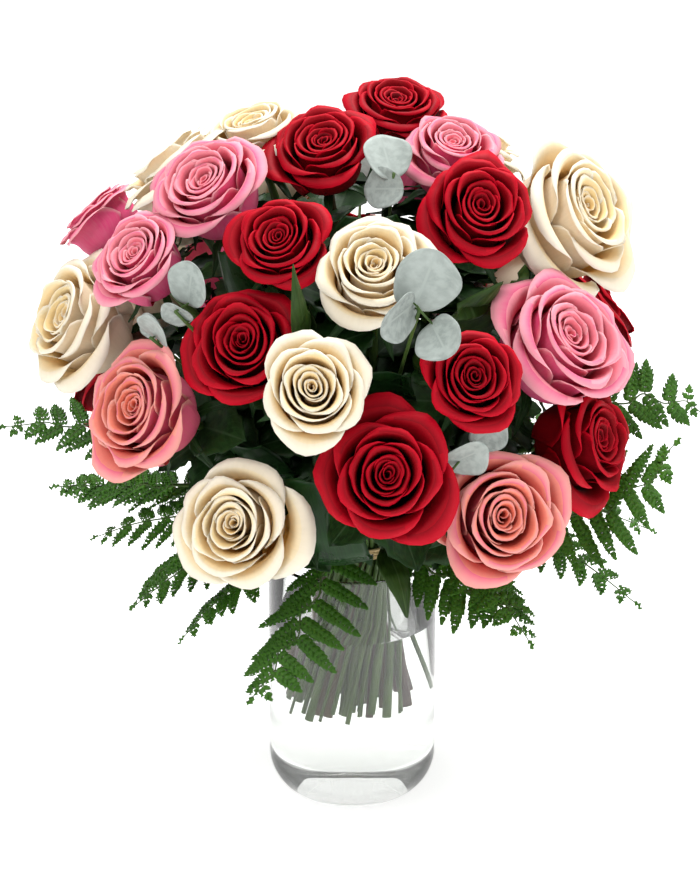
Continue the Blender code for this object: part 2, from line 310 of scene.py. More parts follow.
def lower_stem(obj):
    """The straight stem under the tie: its cut end, its middle and where it is tied."""
    points = mesh_arrays(obj)[0]
    low = points[off_axis(points) < BUNDLE_RADIUS][:, 2].min() + 1.5 * MM
    foot, tied = (cut(obj, height_of, z)[0] for z in (low, tie_height))
    return [foot, foot.lerp(tied, 0.5), tied]


SAME_WAY = 0.9995
HEAD_DEPTH = 60 * MM


def crown_of(obj):
    """A bloom's solid ends in one flat cap. The cap is its largest flat face, and gives the bloom's
    middle and the way that it faces; the widest point round that line gives its radius."""
    points, faces = mesh_arrays(obj)
    normal, area = face_arrays(points, faces)
    outer = reach_of(points)[faces].min(1) > reach_of(points).max() - BUNDLE_RADIUS
    area = area * outer
    best = max(np.flatnonzero(outer), key=lambda i: area[(normal @ normal[i]) > SAME_WAY].sum())
    flat = outer & ((normal @ normal[best]) > SAME_WAY)
    middle = (points[faces[flat]].mean(1) * area[flat][:, None]).sum(0) / area[flat].sum()
    facing = (normal[flat] * area[flat][:, None]).sum(0)
    facing /= np.linalg.norm(facing)
    offset = points - middle
    along = offset @ facing
    near = (along > -HEAD_DEPTH) & (along < MM)
    side = np.linalg.norm(offset - along[:, None] * facing, axis=1)[near]
    return Vector(middle), Vector(facing), float(side[side < BUNDLE_RADIUS].max())


roses = {name: crown_of(obj) for name, obj in sorted(nodes.items()) if name.startswith("rose")}
for name, (middle, facing, radius) in list(roses.items())[:3]:
    print(name, [round(c, 3) for c in middle], "radius", round(radius, 4))

# %% [markdown]
# A rose's head is more than twenty petals on a spiral. In the heart they are rolled round one
# another; further out they are wide shallow cups that lean outwards, and the outermost roll their
# rims back. One petal starts as a flat grid, made once and copied for the others into one mesh. Edit
# mode can't roll each copy by its own amount, so a formula moves the grid's points: across the petal
# they follow a circle round the bloom's axis, and up it they follow a side view drawn with six points.

# %% One stack of flat petals
PETALS = 23
ACROSS, ALONG = 17, 13
select_only()
bpy.ops.mesh.primitive_grid_add(x_subdivisions=ACROSS - 1, y_subdivisions=ALONG - 1, size=2)
flat_petal = bpy.context.object
grid = np.array([v.co[:2] for v in flat_petal.data.vertices])
for number in range(PETALS - 1):
    in_scene("petal", flat_petal.data.copy()).select_set(True)
bpy.ops.object.join()
petal_stack = flat_petal.data
bpy.data.objects.remove(flat_petal)
age = petal_stack.attributes.new("age", "FLOAT", "POINT")
age.data.foreach_set("value", np.repeat(np.linspace(0, 1, PETALS), ACROSS * ALONG).astype(np.float32))
print(PETALS, "petals of", ACROSS * ALONG, "points")

# %% Shape a petal
GOLDEN_ANGLE = math.radians(137.5)


def curve_through(points, at):
    """Catmull-Rom through rows of points; at runs from 0 to 1."""
    points = np.asarray(points, float)
    padded = np.vstack([2 * points[0] - points[1], points, 2 * points[-1] - points[-2]])
    scaled = np.clip(at, 0, 1) * (len(points) - 1)
    i = np.minimum(scaled.astype(int), len(points) - 2)
    t = (scaled - i)[..., None]
    p0, p1, p2, p3 = (padded[i + k] for k in range(4))
    return 0.5 * (2 * p1 + (p2 - p0) * t + (2 * p0 - 5 * p1 + 4 * p2 - p3) * t**2
                  + (3 * p1 - p0 - 3 * p2 + p3) * t**3)


def side_view(t, opened):
    """The petal's line from claw to rim, as shares of the bloom's radius and of its depth. t is 0 in
    the heart and 1 outside; opened is 0 for a bud and 1 for a full-blown rose."""
    wide = np.interp(t, (0, 0.30, 0.62, 1), (0.03, 0.26 - 0.03 * opened, 0.58, 0.70 + 0.12 * opened))
    skirt = max(0, t - 0.60) / 0.40
    lean = 0.02 + 0.06 * t + (0.05 + 0.16 * opened) * skirt**1.2
    top = np.interp(t, (0, 0.25, 0.5, 0.7), (0.86, 0.93, 1.0, 0.98)) - (0.12 + 0.22 * opened) * skirt**1.3
    roll = 0.018 + 0.05 * t + skirt * (0.04 + 0.10 * opened)
    return np.array([
        (0.03 + 0.10 * t, 0.02 + 0.05 * (1 - t)),
        (wide * 0.82, 0.18 + 0.12 * (1 - t) - 0.06 * skirt * opened),
        (wide * 1.05, 0.45 - 0.08 * skirt * opened),
        (wide + lean * 0.35, top - 0.22 + 0.06 * skirt),
        (wide * 0.99 + lean + roll * 0.35, top - 0.02),
        (wide * 0.98 + lean * 1.2 + roll * 1.25, top - roll * 0.75),
    ])


def petal_points(t, turn, radius, depth, opened, chance, heart):
    radius = radius / (side_view(1, opened)[-1, 0] + 0.05)
    across, along = grid[:, 0], (grid[:, 1] + 1) / 2
    edge = np.abs(across)
    along = along * (1 - (0.26 + 0.26 * t) * edge**2.6)
    view = curve_through(side_view(t, opened), along)
    half_turn = math.radians(160 - 90 * min(1, t / 0.7) ** 0.6)
    spread = half_turn * (0.40 + 0.60 * np.clip(along / 0.5, 0, 1) ** 0.8)
    angle = turn + across * spread
    strong = 0.35 + chance.uniform(0, 1.0)
    wave = np.sin(across * chance.uniform(2.5, 5.5) + chance.uniform(0, 6.3)) * strong * 0.055 * t * along**4
    fine = np.sin(across * chance.uniform(9, 14) + chance.uniform(0, 6.3)) * 0.014 * (0.3 + t) * along**6
    tuck = 1 + across * 0.055
    bow = chance.uniform(-0.06, 0.05) * t
    corner = chance.uniform(-0.35, 0.35)
    out = view[:, 0] * (tuck + bow * edge**2 * along) + wave + fine
    tip = (0.015 + 0.085 * t) * np.exp(-(np.abs((across - corner) / 0.42) ** 1.3)) * along**6
    curl = (0.02 + 0.10 * max(0, t - 0.3)) * edge**2 * along**3
    up = view[:, 1] + tip * 0.3 - curl + wave * 0.7 + fine + chance.uniform(-0.022, 0.022) * along
    up = up + across * chance.uniform(-0.035, 0.035) * along**2
    oval_way, shift = heart
    oval = 1 + 0.10 * (1 - t) * np.cos(2 * (angle - oval_way))
    out = radius * (out + tip) * oval * (1 + chance.uniform(-0.05, 0.03) * t)
    lean_way = chance.uniform(0, 6.3)
    lean = 0.035 * radius * along * chance.uniform(0, 1)
    middle = shift * radius * (1 - t) * along
    x = out * np.cos(angle) + lean * math.cos(lean_way) + middle * math.cos(oval_way)
    y = out * np.sin(angle) + lean * math.sin(lean_way) + middle * math.sin(oval_way)
    return np.column_stack([x, y, depth * up])


def bloom_points(radius, depth, opened, seed):
    """Every petal of one rose, on the spiral that leaves the widest gap to the petal before."""
    chance = np.random.default_rng(seed)
    start = chance.uniform(0, 6.3)
    heart = (math.pi / 2 - seed + chance.uniform(-0.5, 0.5), chance.uniform(0.04, 0.15))
    rows = []
    for number in range(PETALS):
        t = number / (PETALS - 1)
        turn = start + number * GOLDEN_ANGLE + chance.uniform(-0.20, 0.20) * (1 - 0.6 * t)
        rows.append(petal_points(t, turn, radius, depth, opened, chance, heart))
    return np.vstack(rows)


print("petal formula ready")

# %% [markdown]
# A petal's colour isn't even. It is deeper in the heart, paler and thinner at the rim, and fine veins
# run up it. The heart and the low inside of each cup are also darkened with painted shade, near black
# in the red rose. The grid's own UV map says how far across and how far up a point is, and the age
# attribute says how far out its petal stands, so one node tree serves all four colours of rose.

# %% Petal materials
def petal_material(name, heart, middle, outer, rim, outside, deep_tint_and_painted_shade, velvet, glow):
    """heart, middle and outer follow the petal's age; rim is its edge, outside its back, and the last
    colour is the one low down inside the cup. The heart colour and that low one are partly the petal's
    own deeper tint and partly painted shade."""
    made, tree, shader, where = begin(name, Roughness=0.6, Specular_IOR_Level=0.12, Sheen_Weight=velvet,
                                      Sheen_Roughness=0.4, Sheen_Tint=(*rim, 1))
    uv = tree.nodes.new("ShaderNodeUVMap").outputs["UV"]
    height = add(tree, "ShaderNodeSeparateXYZ", [("Vector", uv)]).outputs["Y"]
    veins = noise(tree, uv, 1.6, 4.0, (26, 2.2, 1))
    clouds = noise(tree, where, 55.0, 3.0)
    # Painted shade: the heart colour, near black in the red rose, is partly the petal's own deeper tint and
    # partly shade painted in.
    colour = ramp(tree, attribute(tree, "age"), [(0.0, heart), (0.38, middle), (0.85, outer)])
    # Painted shade: low down inside each cup the colour darkens to the last colour, partly the petal's own deeper
    # tint.
    colour = blend(tree, mapped(tree, height, 0.86, 0.50), colour, deep_tint_and_painted_shade)
    colour = blend(tree, attribute(tree, "back"), colour, outside)
    colour = blend(tree, patches(tree, veins, 0.35, 0.75, 0.30), colour, tuple(c * 0.80 for c in outer))
    colour = blend(tree, patches(tree, clouds, 0.45, 0.8, 0.22), colour, rim)
    colour = blend(tree, mapped(tree, height, 0.82, 1.02), colour, rim)
    tree.links.new(colour, shader.inputs["Base Color"])
    bump(tree, shader, veins, 0.35, 0.4 * MM)
    let_light_through(tree, shader, colour, glow)
    return made


# The heart and last colours, darkest in the red rose, are partly each rose's own deeper tint and partly painted
# shade of the cup's inside.
PETAL_FINISH = {
    "red": petal_material("red_petal", (0.07, 0.0, 0.002), (0.26, 0.0, 0.004), (0.34, 0.0, 0.007),
                          (0.54, 0.0, 0.014), (0.17, 0.0, 0.004), (0.03, 0.0, 0.001), 0.01, 0.05),
    "cream": petal_material("cream_petal", (0.93, 0.66, 0.27), (0.94, 0.77, 0.42), (0.94, 0.84, 0.61),
                            (0.96, 0.92, 0.81), (0.93, 0.83, 0.65), (0.90, 0.54, 0.14), 0.03, 0.30),
    "pink": petal_material("pink_petal", (0.90, 0.20, 0.25), (0.92, 0.27, 0.33), (0.94, 0.34, 0.41),
                           (0.96, 0.48, 0.53), (0.80, 0.08, 0.24), (0.75, 0.04, 0.09), 0.03, 0.22),
    "salmon": petal_material("salmon_petal", (0.82, 0.15, 0.08), (0.88, 0.25, 0.16), (0.88, 0.28, 0.22),
                             (0.95, 0.47, 0.39), (0.80, 0.13, 0.25), (0.68, 0.06, 0.03), 0.03, 0.22),
}
print(len(PETAL_FINISH), "petal finishes")

# %% [markdown]
# Each bloom copies the stack, shapes its petals, gives them their real thickness and is turned to
# face the way its solid does. The solids are drawn small so that they don't touch, and real petals
# press on their neighbours, so each bloom is about a third wider than its solid.

# %% Grow the blooms
SWELL = 1.30
DEPTH_PER_RADIUS = 1.56
RIM_ABOVE_SOLID = 1.02
PETAL_THICKNESS = 0.35 * MM


def turned_to(facing, roll):
    """A turn that points +Z along facing."""
    return Vector(facing).to_track_quat("Z", "Y").to_matrix().to_4x4() @ Matrix.Rotation(roll, 4, "Z")


def thickened(obj, thickness):
    select_only(obj)
    skin = obj.modifiers.new("thickness", "SOLIDIFY")
    skin.thickness = thickness
    skin.offset = 0
    bpy.ops.object.modifier_apply(modifier="thickness")
    obj.data.shade_smooth()


def settle_in(piece, slot, *stands_for):
    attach(piece, "root")
    if stands_for:
        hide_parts(*stands_for)


def mesh_faces_out(mesh, middle, facing):
    """Which flat petal faces point away from the bloom's axis, before they have thickness."""
    centres = np.array([p.center for p in mesh.polygons]) - np.array(middle)
    axis = np.array(facing)
    aside = centres - np.outer(centres @ axis, axis)
    normals = np.array([p.normal for p in mesh.polygons])
    return (normals * aside).sum(1) > 0


def mark_backs(mesh, outward):
    """Thickness puts the copied side's faces after the first side's, in the same order. The side of a
    petal that looks away from the heart gets the value 1, and its thin rim a half."""
    count = len(outward)
    back = np.full(len(mesh.polygons), 0.5, np.float32)
    back[:count] = outward
    back[count:2 * count] = ~outward
    mesh.attributes.new("back", "FLOAT", "FACE").data.foreach_set("value", back)


def grow_bloom(name, opened, fuller, seed):
    middle, facing, radius = roses[name]
    colour = name.split("_")[1]
    depth = radius * DEPTH_PER_RADIUS
    mesh = petal_stack.copy()
    points = bloom_points(radius * SWELL * fuller, depth * RIM_ABOVE_SOLID, opened, seed)
    mesh.vertices.foreach_set("co", points.ravel())
    mesh.transform(Matrix.Translation(middle - facing * depth) @ turned_to(facing, seed))
    outward = mesh_faces_out(mesh, middle, facing)
    bloom = in_scene(name + "_petals", mesh)
    thickened(bloom, PETAL_THICKNESS)
    mark_backs(bloom.data, outward)
    bloom.data.materials.append(PETAL_FINISH[colour])
    settle_in(bloom, colour + "_petals", name)


# For each bloom of the front, how far it is open and how much fuller it is than its solid's share.
FRONT = {
    "red_1": (0.4, 1.04), "red_2": (0.5, 1.12), "cream_3": (0.8, 1.22), "cream_4": (0.7, 1.12),
    "pink_5": (0.4, 1.04), "pink_6": (0.2, 1.15), "pink_7": (0.3, 1.04), "cream_8": (0.8, 1.16),
    "salmon_9": (0.5, 1.05), "red_10": (0.35, 1.04), "red_11": (0.5, 1.04), "cream_12": (0.6, 1.04),
    "cream_13": (0.45, 1.04), "cream_14": (0.9, 1.04), "red_15": (0.8, 1.04), "red_16": (0.35, 1.04),
    "red_17": (0.6, 1.04), "pink_18": (0.5, 1.04), "cream_19": (0.9, 1.26), "pink_20": (0.6, 1.13),
    "red_21": (0.8, 1.10), "salmon_22": (0.7, 1.05),
}
FULLER_AT_BACK = 1.14
GOLDEN_SHARE = 0.618
for order, name in enumerate(roses):
    by_turns = 0.55 + 0.4 * ((order * GOLDEN_SHARE) % 1)
    grow_bloom(name, *FRONT.get(name[5:], (by_turns, FULLER_AT_BACK)), order)
print(len(roses), "blooms")

# %% [markdown]
# Stems, twigs and ribs are curves with a bevel, as any rod is. Several can be splines of one curve,
# which is then made a mesh, so that a frond's ribs or a rose's stem with its thorns are one piece.

# %% Rods
def rods(name, lines, material, sides=8):
    """One mesh of many tapered rods; each line is its points and its radii."""
    curve = bpy.data.curves.new(name, "CURVE")
    curve.dimensions = "3D"
    curve.bevel_depth = 1.0
    curve.bevel_resolution = (sides - 4) // 2
    curve.use_fill_caps = True
    for points, radii in lines:
        spline = curve.splines.new("POLY")
        spline.points.add(len(points) - 1)
        for knot, point, radius in zip(spline.points, points, radii):
            knot.co = (*point, 1)
            knot.radius = float(radius)
    select_only(in_scene(name, curve))
    bpy.ops.object.convert(target="MESH")
    bpy.ops.object.mode_set(mode="EDIT")
    bpy.ops.mesh.select_all(action="SELECT")
    bpy.ops.mesh.remove_doubles(threshold=0.01 * MM)
    bpy.ops.mesh.normals_make_consistent(inside=False)
    bpy.ops.object.mode_set(mode="OBJECT")
    rod = bpy.context.object
    rod.data.shade_smooth()
    rod.data.uv_layers.new(name="UVMap")
    rod.data.materials.append(material)
    return rod


def smoothed(points, count):
    return [Vector(p) for p in curve_through(points, np.linspace(0, 1, count))]


def planted(name, mesh, matrices, material, shades=None):
    """One mesh of many copies of a small one, each put in its place by its own matrix."""
    points = np.array([v.co for v in mesh.vertices])
    faces = [tuple(p.vertices) for p in mesh.polygons]
    uv = np.array([loop.uv for loop in mesh.uv_layers.active.data])
    every, all_faces = [], []
    for number, matrix in enumerate(matrices):
        m = np.array(matrix)
        every.append(points @ m[:3, :3].T + m[:3, 3])
        start = number * len(points)
        all_faces += [tuple(i + start for i in face) for face in faces]
    made = bpy.data.meshes.new(name)
    made.from_pydata(np.vstack(every).tolist(), [], all_faces)
    layer = made.uv_layers.new(name="UVMap")
    layer.data.foreach_set("uv", np.tile(uv, (len(matrices), 1)).ravel())
    tone = made.attributes.new("tone", "FLOAT", "POINT")
    values = shades or [(k * GOLDEN_SHARE) % 1 for k in range(len(matrices))]
    tone.data.foreach_set("value", np.repeat(values, len(points)).astype(np.float32))
    made.shade_smooth()
    made.materials.append(material)
    return in_scene(name, made)


def joined(name, *pieces):
    """Several pieces as one, under this name."""
    select_only(*pieces)
    bpy.ops.object.join()
    bpy.context.object.name = name
    return bpy.context.object


print("rods and copies ready")

# %% Leaf materials
WAX = (0.78, 0.82, 0.80)


def rib_lines(tree, uv, ribs):
    """A pale midrib up the middle of the leaf and side veins that leave it at a slant, as a share."""
    across_up = add(tree, "ShaderNodeSeparateXYZ", [("Vector", uv)]).outputs
    aside = maths(tree, "ABSOLUTE", maths(tree, "SUBTRACT", across_up["X"], 0.5))
    slant = maths(tree, "MULTIPLY_ADD", aside, -0.9, across_up["Y"])
    wave = maths(tree, "PINGPONG", maths(tree, "MULTIPLY", slant, ribs), 0.5)
    midrib, sides = mapped(tree, aside, 0.030, 0.012), mapped(tree, wave, 0.07, 0.0, 0.0, 0.45)
    return maths(tree, "MAXIMUM", midrib, sides)


def leaf_material(name, dark, light, rough, vein_scale, vein_mm, back_glow=0.12, wax=0.0, gloss=0.3, ribs=0):
    """A leaf: veins along its UV, cloudy patches over it, and a tone that differs leaf by leaf."""
    made, tree, shader, where = begin(name, Roughness=rough, Specular_IOR_Level=gloss)
    uv = tree.nodes.new("ShaderNodeUVMap").outputs["UV"]
    veins = noise(tree, uv, 1.0, 3.0, vein_scale)
    clouds = noise(tree, where, 70.0, 4.0)
    colour = blend(tree, patches(tree, clouds, 0.3, 0.7), dark, light)
    shade = patches(tree, attribute(tree, "tone"), 0.0, 1.0, 0.6)
    colour = blend(tree, shade, colour, tuple(c * 0.6 for c in dark))
    colour = blend(tree, patches(tree, veins, 0.42, 0.62, 0.55), colour, tuple(c * 1.35 for c in light))
    if wax:
        colour = blend(tree, wax, colour, WAX)
    if ribs:
        colour = blend(tree, rib_lines(tree, uv, ribs), colour, tuple(c * 1.15 + 0.018 for c in light))
    tree.links.new(colour, shader.inputs["Base Color"])
    tree.links.new(mapped(tree, clouds, 0.0, 1.0, rough - 0.08, rough + 0.1), shader.inputs["Roughness"])
    bump(tree, shader, veins, 0.5, vein_mm * MM)
    let_light_through(tree, shader, colour, back_glow)
    return made


BARK_VEINS = (3, 40, 1)
stem_green = leaf_material("stem_green", (0.022, 0.055, 0.010), (0.060, 0.110, 0.022), 0.42, BARK_VEINS, 0.3, 0.0)
stem_brown = leaf_material("stem_brown", (0.045, 0.028, 0.014), (0.095, 0.075, 0.030), 0.48, BARK_VEINS, 0.3, 0.0)
stem_plum = leaf_material("stem_plum", (0.030, 0.014, 0.016), (0.070, 0.045, 0.030), 0.42, BARK_VEINS, 0.3, 0.0)
# Near-black rose green: partly the leaves' own dark colour, partly painted shade of the dome's inside.
rose_green_and_painted_shade = leaf_material("rose_leaf_green_and_painted_shade", (0.005, 0.020, 0.004), (0.014, 0.046, 0.009), 0.42, (8, 10, 1),
                           0.3, 0.05, gloss=0.15, ribs=9)
dark_green = leaf_material("dark_strap_green", (0.003, 0.014, 0.003), (0.008, 0.034, 0.007), 0.28, (42, 0.8, 1),
                           0.25, 0.04, gloss=0.16)
olive_green = leaf_material("broad_leaf_green", (0.012, 0.032, 0.005), (0.030, 0.068, 0.010), 0.40, (10, 6, 1),
                            0.25, gloss=0.2, ribs=8)
frond_green = leaf_material("frond_green", (0.030, 0.115, 0.008), (0.080, 0.235, 0.020), 0.36, (14, 6, 1),
                            0.2, 0.22)
silver_green = leaf_material("silver_green", (0.21, 0.250, 0.225), (0.30, 0.340, 0.315), 0.60, (5, 6, 1),
                             0.15, 0.10, 0.12, ribs=6)
print("leaf and stem finishes ready")

# %% [markdown]
# Under a rose's head five narrow sepals curl back, and its stem carries toothed leaves. Both are
# modelled once, flat: a grid is narrowed to the leaf's outline, given teeth and a fold along its
# midrib, and thickened. Each stem then gets its own copies, which fill the dome between the blooms.
# Their near-black green is partly the leaves' own colour and partly painted shade of the dome's inside.

# %% One rose leaf and one sepal
def grid_piece(name, columns, rows):
    """A flat grid, and for each of its points how far across (-1 to 1) and how far along (0 to 1)."""
    select_only()
    bpy.ops.mesh.primitive_grid_add(x_subdivisions=columns - 1, y_subdivisions=rows - 1, size=2)
    piece = bpy.context.object
    piece.name = name
    flat = np.array([v.co[:2] for v in piece.data.vertices])
    return piece, flat[:, 0], (flat[:, 1] + 1) / 2


def shape(piece, points, thickness):
    piece.data.vertices.foreach_set("co", np.asarray(points, float).ravel())
    piece.data.update()
    thickened(piece, thickness)


def mesh_only(piece):
    """The mesh of a piece that is only there to be copied."""
    mesh = piece.data
    bpy.data.objects.remove(piece)
    return mesh


LEAF_THICKNESS = 0.3 * MM


def flat_leaf(name, length, width, teeth, droop, columns=7, rows=15):
    piece, across, along = grid_piece(name, columns, rows)
    half = width / 2 * np.sin(np.pi * np.clip(along, 0, 1) ** 0.85) ** 0.8
    odd_row = np.arange(len(along)) // columns % 2
    half = half * (1 + teeth * np.where(odd_row, 1, -1) * (np.abs(across) > 0.9))
    x = across * np.maximum(half, 0.012 * length)
    y = along * length
    z = 0.28 * np.abs(x) - droop * length * along**2 + 1.2 * MM * np.sin(along * 14) * np.abs(across)
    shape(piece, np.column_stack([x, y, z]), LEAF_THICKNESS)
    return mesh_only(piece)


rose_leaf = flat_leaf("rose_leaf", 46 * MM, 33 * MM, 0.09, 0.16)
sepal = flat_leaf("sepal", 26 * MM, 6 * MM, 0.0, 0.55, columns=5, rows=9)
print("rose leaf", len(rose_leaf.vertices), "points, sepal", len(sepal.vertices), "points")


def pose(place, along, face, scale=1.0):
    """A matrix that puts a flat leaf's base at place, its length along and its upper side to face."""
    y = Vector(along).normalized()
    z = Vector(face)
    z = (z - y * z.dot(y)).normalized()
    x = y.cross(z)
    turn = Matrix((x, y, z)).transposed().to_4x4()
    return Matrix.Translation(place) @ turn @ Matrix.Scale(scale, 4)


# %% Stems, sepals and stem leaves
STEM_RADIUS = 2.3 * MM
STEM_POINTS = 34
THORNS, SEPALS, LEAVES = 7, 5, 8
SEPAL_REACH = 27 * MM


def grow_stem(name, seed):
    chance = np.random.default_rng(1000 + seed)
    middle, facing, radius = roses[name]
    base = middle - facing * radius * DEPTH_PER_RADIUS
    inside = base + facing * 5 * MM
    upper = [one[0] for one in spine(nodes[name], (base - dome_centre).length / MM - 10, 14)]
    line = smoothed([*lower_stem(nodes[name]), *upper, inside - facing * 4 * MM, inside], STEM_POINTS)
    radii = [STEM_RADIUS * (1 + 0.10 * math.sin(k * 1.9 + seed)) for k in range(STEM_POINTS)]
    radii[-3:] = [STEM_RADIUS * 1.25, STEM_RADIUS * 1.9, STEM_RADIUS * 2.2]
    parts = [(line, radii)]
    for _ in range(THORNS):
        k = int(chance.integers(3, 26))
        way = (line[k + 1] - line[k]).orthogonal().normalized()
        way.rotate(Matrix.Rotation(chance.uniform(0, 6.3), 3, line[k + 1] - line[k]))
        root = line[k] + way * STEM_RADIUS * 0.6
        tip = root + way * 3.4 * MM - UP * 1.0 * MM
        parts.append(([root, root + way * 1.6 * MM, tip], [1.2 * MM, 0.7 * MM, 0.15 * MM]))
    bark = (stem_green, stem_brown, stem_green, stem_plum)[seed % 4]
    stem = rods(name + "_stem", parts, bark)
    turn = turned_to(facing, seed).to_3x3()
    sepals = []
    for k in range(SEPALS):
        angle = k * 1.2566
        side = turn @ Vector((math.cos(angle), math.sin(angle), 0))
        along = side + facing * (0.5 - 0.5 * chance.random())
        sepals.append(pose(base + side * 4 * MM, along, facing, radius / SEPAL_REACH))
    collar = planted(name + "_sepals", sepal, sepals, rose_green_and_painted_shade)
    leaves = []
    for _ in range(LEAVES):
        k = int(chance.integers(16, 29))
        outward = (line[k] - dome_centre).normalized()
        side = outward.orthogonal()
        side.rotate(Matrix.Rotation(chance.uniform(0, 6.3), 3, outward))
        along = side + outward * chance.uniform(0.1, 0.7)
        leaves.append(pose(line[k], along, outward + side * 0.2, chance.uniform(0.8, 1.2)))
    foliage = planted(name + "_leaves", rose_leaf, leaves, rose_green_and_painted_shade)
    settle_in(joined(name + "_stem", stem, collar, foliage), "stem_and_leaf_green", name)


for order, name in enumerate(roses):
    grow_stem(name, order)
print(len(roses), "stems")

# %% [markdown]
# Fern fronds are twice divided: side branches leave the midrib in pairs, and small leaflets leave
# those, so close together that a branch looks like one saw-edged leaf. One leaflet is modelled, of a
# few dozen faces because it is used thousands of times, and is planted along branches whose length
# follows the width of the solid.

# %% Fern fronds
LEAFLET = 5.6 * MM
LEAFLET_SPACING = 2.8 * MM
LINE_POINTS = 60
FROND_PAIRS = 8
BLADE_HALF = 2.4 * MM
leaflet = flat_leaf("leaflet", LEAFLET, 3.5 * MM, 0.0, 0.12, columns=3, rows=6)


def blade_line(obj, count):
    """The flat part of a leaf's solid: its midrib's points, the ways across it, its half-widths and
    where it begins."""
    points, _ = mesh_arrays(obj)
    outside = (points[:, 2] > tie_low.z) | (off_axis(points) > IN_VASE_RADIUS)
    top = reach_of(points[outside]).max() / MM
    found = spine(obj, top - 0.6, 2.5, first=52)
    found = found[min(k for k, one in enumerate(found) if one[2] > BLADE_HALF):]
    ways = [found[0][1]]
    for one in found[1:]:
        ways.append(one[1] if one[1].dot(ways[-1]) > 0 else -one[1])
    at = np.linspace(0, 1, count)
    points = curve_through([one[0] for one in found], at)
    ways = curve_through(ways, at)
    halves = curve_through([(one[2],) for one in found], at)[:, 0]
    return [Vector(p) for p in points], [Vector(w).normalized() for w in ways], halves, found[0][0]


def blade_stem(obj, start, onward, radius):
    """A leaf's stalk, from its cut end through the tie to where the blade begins."""
    slices = spine(obj, (start - dome_centre).length / MM - 8, 10)
    upper = [one[0] for one in slices if one[2] < BLADE_HALF]
    return smoothed([*lower_stem(obj), *upper, start, onward], 26), [radius] * 26


def frond(name, stalk, line, ways, widest, seed):
    chance = np.random.default_rng(2000 + seed)
    lines = [stalk, (line, np.linspace(0.85, 0.3, LINE_POINTS) * MM)]
    leaflets, shades = [], []
    for k in range(FROND_PAIRS):
        s = (k + 0.4) / FROND_PAIRS
        spot = int(1 + s * (LINE_POINTS - 3))
        along = (line[spot + 1] - line[spot]).normalized()
        reach = widest * 1.95 * math.sin(math.pi * min(1, 0.16 + 0.84 * s) ** 0.8) ** 0.7
        upper = along.cross(ways[spot]).normalized()
        if upper.z < -0.2:
            upper = -upper
        for side in (-1, 1):
            across = ways[spot] * side
            onward = (across + along * chance.uniform(0.45, 0.7) - UP * 0.10).normalized()
            length = reach * chance.uniform(0.88, 1.08)
            ribs = [line[spot] + onward * length * f + upper * length * 0.10 * (f - f * f * 1.6)
                    for f in (0, 0.35, 0.7, 1)]
            lines.append((ribs, [0.42 * MM, 0.36 * MM, 0.28 * MM, 0.12 * MM]))
            count = max(2, int(length / LEAFLET_SPACING))
            tone = chance.uniform(0, 0.6)
            for j in range(count):
                f = (j + 0.35) / count
                root = Vector(curve_through(ribs, np.array([f]))[0])
                bulge = 0.42 + 0.68 * math.sin(math.pi * min(1, 0.24 + 0.76 * f) ** 0.9)
                for hand in (-1, 1):
                    way = onward * (0.85 + 0.5 * f) + onward.cross(upper) * hand
                    size = bulge * chance.uniform(0.9, 1.1)
                    tilt = upper + way * chance.uniform(-0.15, 0.15)
                    leaflets.append(pose(root, way, tilt, size * min(1, length / (16 * MM) + 0.35)))
                    shades.append(min(1, tone + chance.uniform(0, 0.4)))
            leaflets.append(pose(ribs[-1] - onward * MM, onward, upper, 0.8))
            shades.append(tone)
    leaflets.append(pose(line[-2], line[-1] - line[-2], ways[-1].cross(line[-1] - line[-2]), 1.1))
    shades.append(0.3)
    ribbing = rods(name + "_ribs", lines, stem_green, 6)
    return joined(name, ribbing, planted(name + "_leaflets", leaflet, leaflets, frond_green, shades))


FERN_STALK = 0.9 * MM
ferns = [name for name in sorted(nodes) if name.startswith("fern")]
for order, name in enumerate(ferns):
    line, ways, halves, start = blade_line(nodes[name], LINE_POINTS)
    stalk = blade_stem(nodes[name], start, line[3], FERN_STALK)
    settle_in(frond(name + "_frond", stalk, line, ways, max(halves), order), "fern_green", name)
print(len(ferns), "fronds on their solids")

# %% [markdown]
# A skirt of smaller fronds hides the underside of the dome all round. They are too light and loose
# to need solids of their own, so each is laid along three directions seen from the dome's middle.

# %% Skirt of fronds
def direction(azimuth, polar):
    a, p = math.radians(azimuth), math.radians(polar)
    return Vector((math.sin(p) * math.sin(a), -math.sin(p) * math.cos(a), math.cos(p)))


